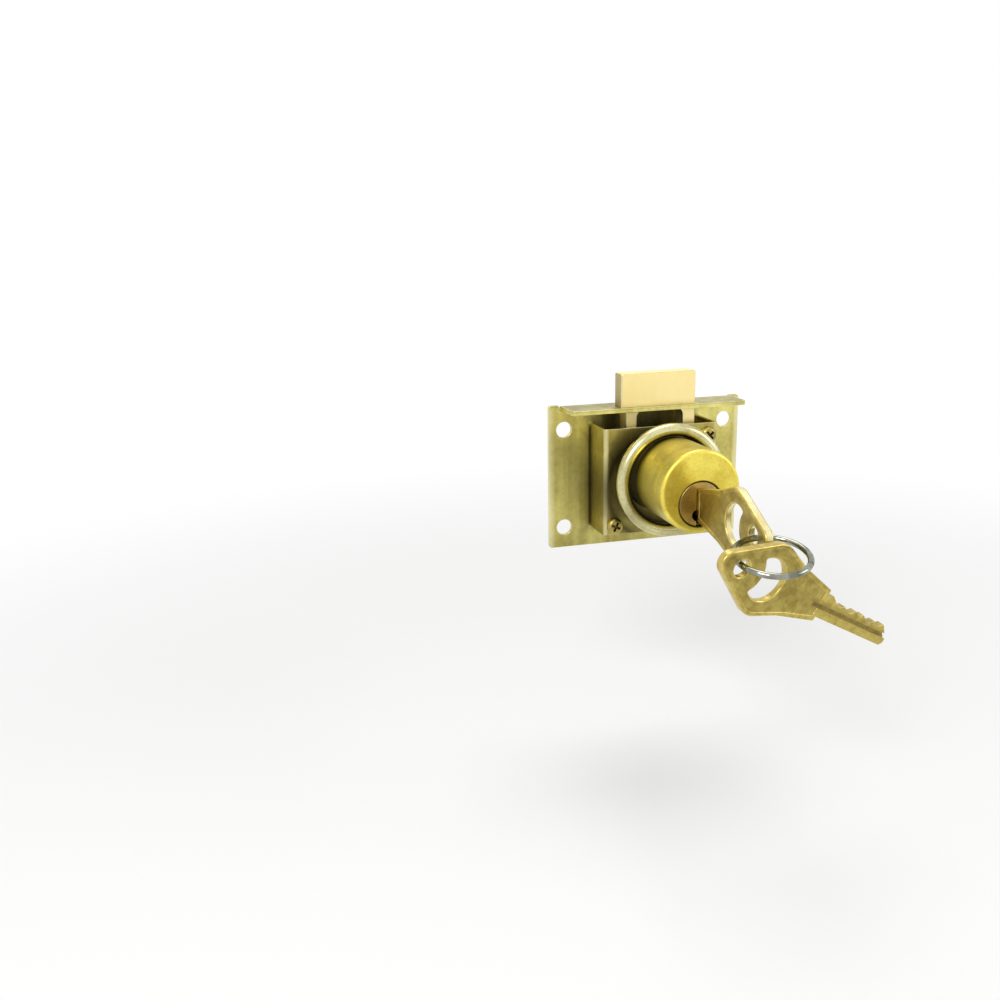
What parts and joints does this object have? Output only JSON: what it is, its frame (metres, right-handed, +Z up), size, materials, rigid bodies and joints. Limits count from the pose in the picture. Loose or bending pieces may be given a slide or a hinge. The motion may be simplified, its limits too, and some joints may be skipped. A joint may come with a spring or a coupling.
{
  "type": "drawer lock",
  "caption": "Rim lock for a drawer: folded back plate and case, sliding bolt driven by a pin cylinder with a loose trim ring, key in place and a spare on a wire ring.",
  "frame": {"origin": "centre of the four screw holes, on the back plate's front face that lies against the wood", "axes": "+X to the lock's right seen from the front, +Y to the back, away from the key, +Z up, the way the bolt comes out"},
  "size_m": [0.0673, 0.0847, 0.0633],
  "materials": {
    "plate_brass": "satin plated, soft reflections",
    "case_brass": "satin plated",
    "barrel_brass": "turned and polished",
    "bolt_brass": "pale, matt",
    "ring_brass": "polished",
    "plug_brass": "turned, reddish",
    "key_brass": "pitted faces, worn rims",
    "screw_brass": "plated",
    "pin_brass": "turned",
    "cam_steel": "plain",
    "spring_steel": "wire",
    "loop_nickel": "nickel plated wire"
  },
  "bodies": {
    "lock_body": {"back_plate": "plate_brass", "lock_case": "case_brass", "barrel": "barrel_brass", "case_screw_lower_left": "screw_brass", "case_screw_upper_right": "screw_brass", "stop_pin": "cam_steel", "driver_pin_1": "pin_brass", "driver_pin_2": "pin_brass", "driver_pin_3": "pin_brass", "driver_pin_4": "pin_brass", "driver_pin_5": "pin_brass", "pin_spring_1": "spring_steel", "pin_spring_2": "spring_steel", "pin_spring_3": "spring_steel", "pin_spring_4": "spring_steel", "pin_spring_5": "spring_steel", "chamber_plug_1": "barrel_brass", "chamber_plug_2": "barrel_brass", "chamber_plug_3": "barrel_brass", "chamber_plug_4": "barrel_brass", "chamber_plug_5": "barrel_brass"},
    "plug_body": {"plug": "plug_brass", "cam_disc": "cam_steel", "crank_pin": "cam_steel", "key_pin_1": "pin_brass", "key_pin_2": "pin_brass", "key_pin_3": "pin_brass", "key_pin_4": "pin_brass", "key_pin_5": "pin_brass"},
    "bolt_body": {"bolt": "bolt_brass"},
    "trim_ring_body": {"trim_ring": "ring_brass"},
    "key_body": {"key_in_lock": "key_brass"},
    "key_ring_body": {"key_ring": "loop_nickel"},
    "spare_key_body": {"spare_key": "key_brass"}
  },
  "joints": [
    {"name": "plug_turn", "type": "hinge", "parent": "lock_body", "child": "plug_body", "pos_m": [0, 0, -0.00025], "axis": [0, 1, 0], "range_deg": [0, 180]},
    {"name": "bolt_slide", "type": "slide", "parent": "lock_body", "child": "bolt_body", "axis": [0, 0, -1], "range_m": [0, 0.0094]},
    {"name": "trim_ring_slide", "type": "slide", "parent": "lock_body", "child": "trim_ring_body", "axis": [0, -1, 0], "range_m": [-0.0045, 0.014]},
    {"name": "key_withdraw", "type": "slide", "parent": "plug_body", "child": "key_body", "axis": [0, -1, 0], "range_m": [0, 0.03]},
    {"name": "key_ring_swing", "type": "hinge", "parent": "key_body", "child": "key_ring_body", "pos_m": [0, -0.0664, -0.00025], "axis": [1, 0, 0], "range_deg": [-45, 60]},
    {"name": "spare_key_swing", "type": "hinge", "parent": "key_ring_body", "child": "spare_key_body", "pos_m": [-0.00872, -0.07544, -0.00424], "axis": [-0.1758, 0.9706, 0.1643], "range_deg": [0, 90]}
  ],
  "couplings": [
    {"joint": "plug_turn", "follows": "bolt_slide", "rad_per_m": 334.21}
  ]
}
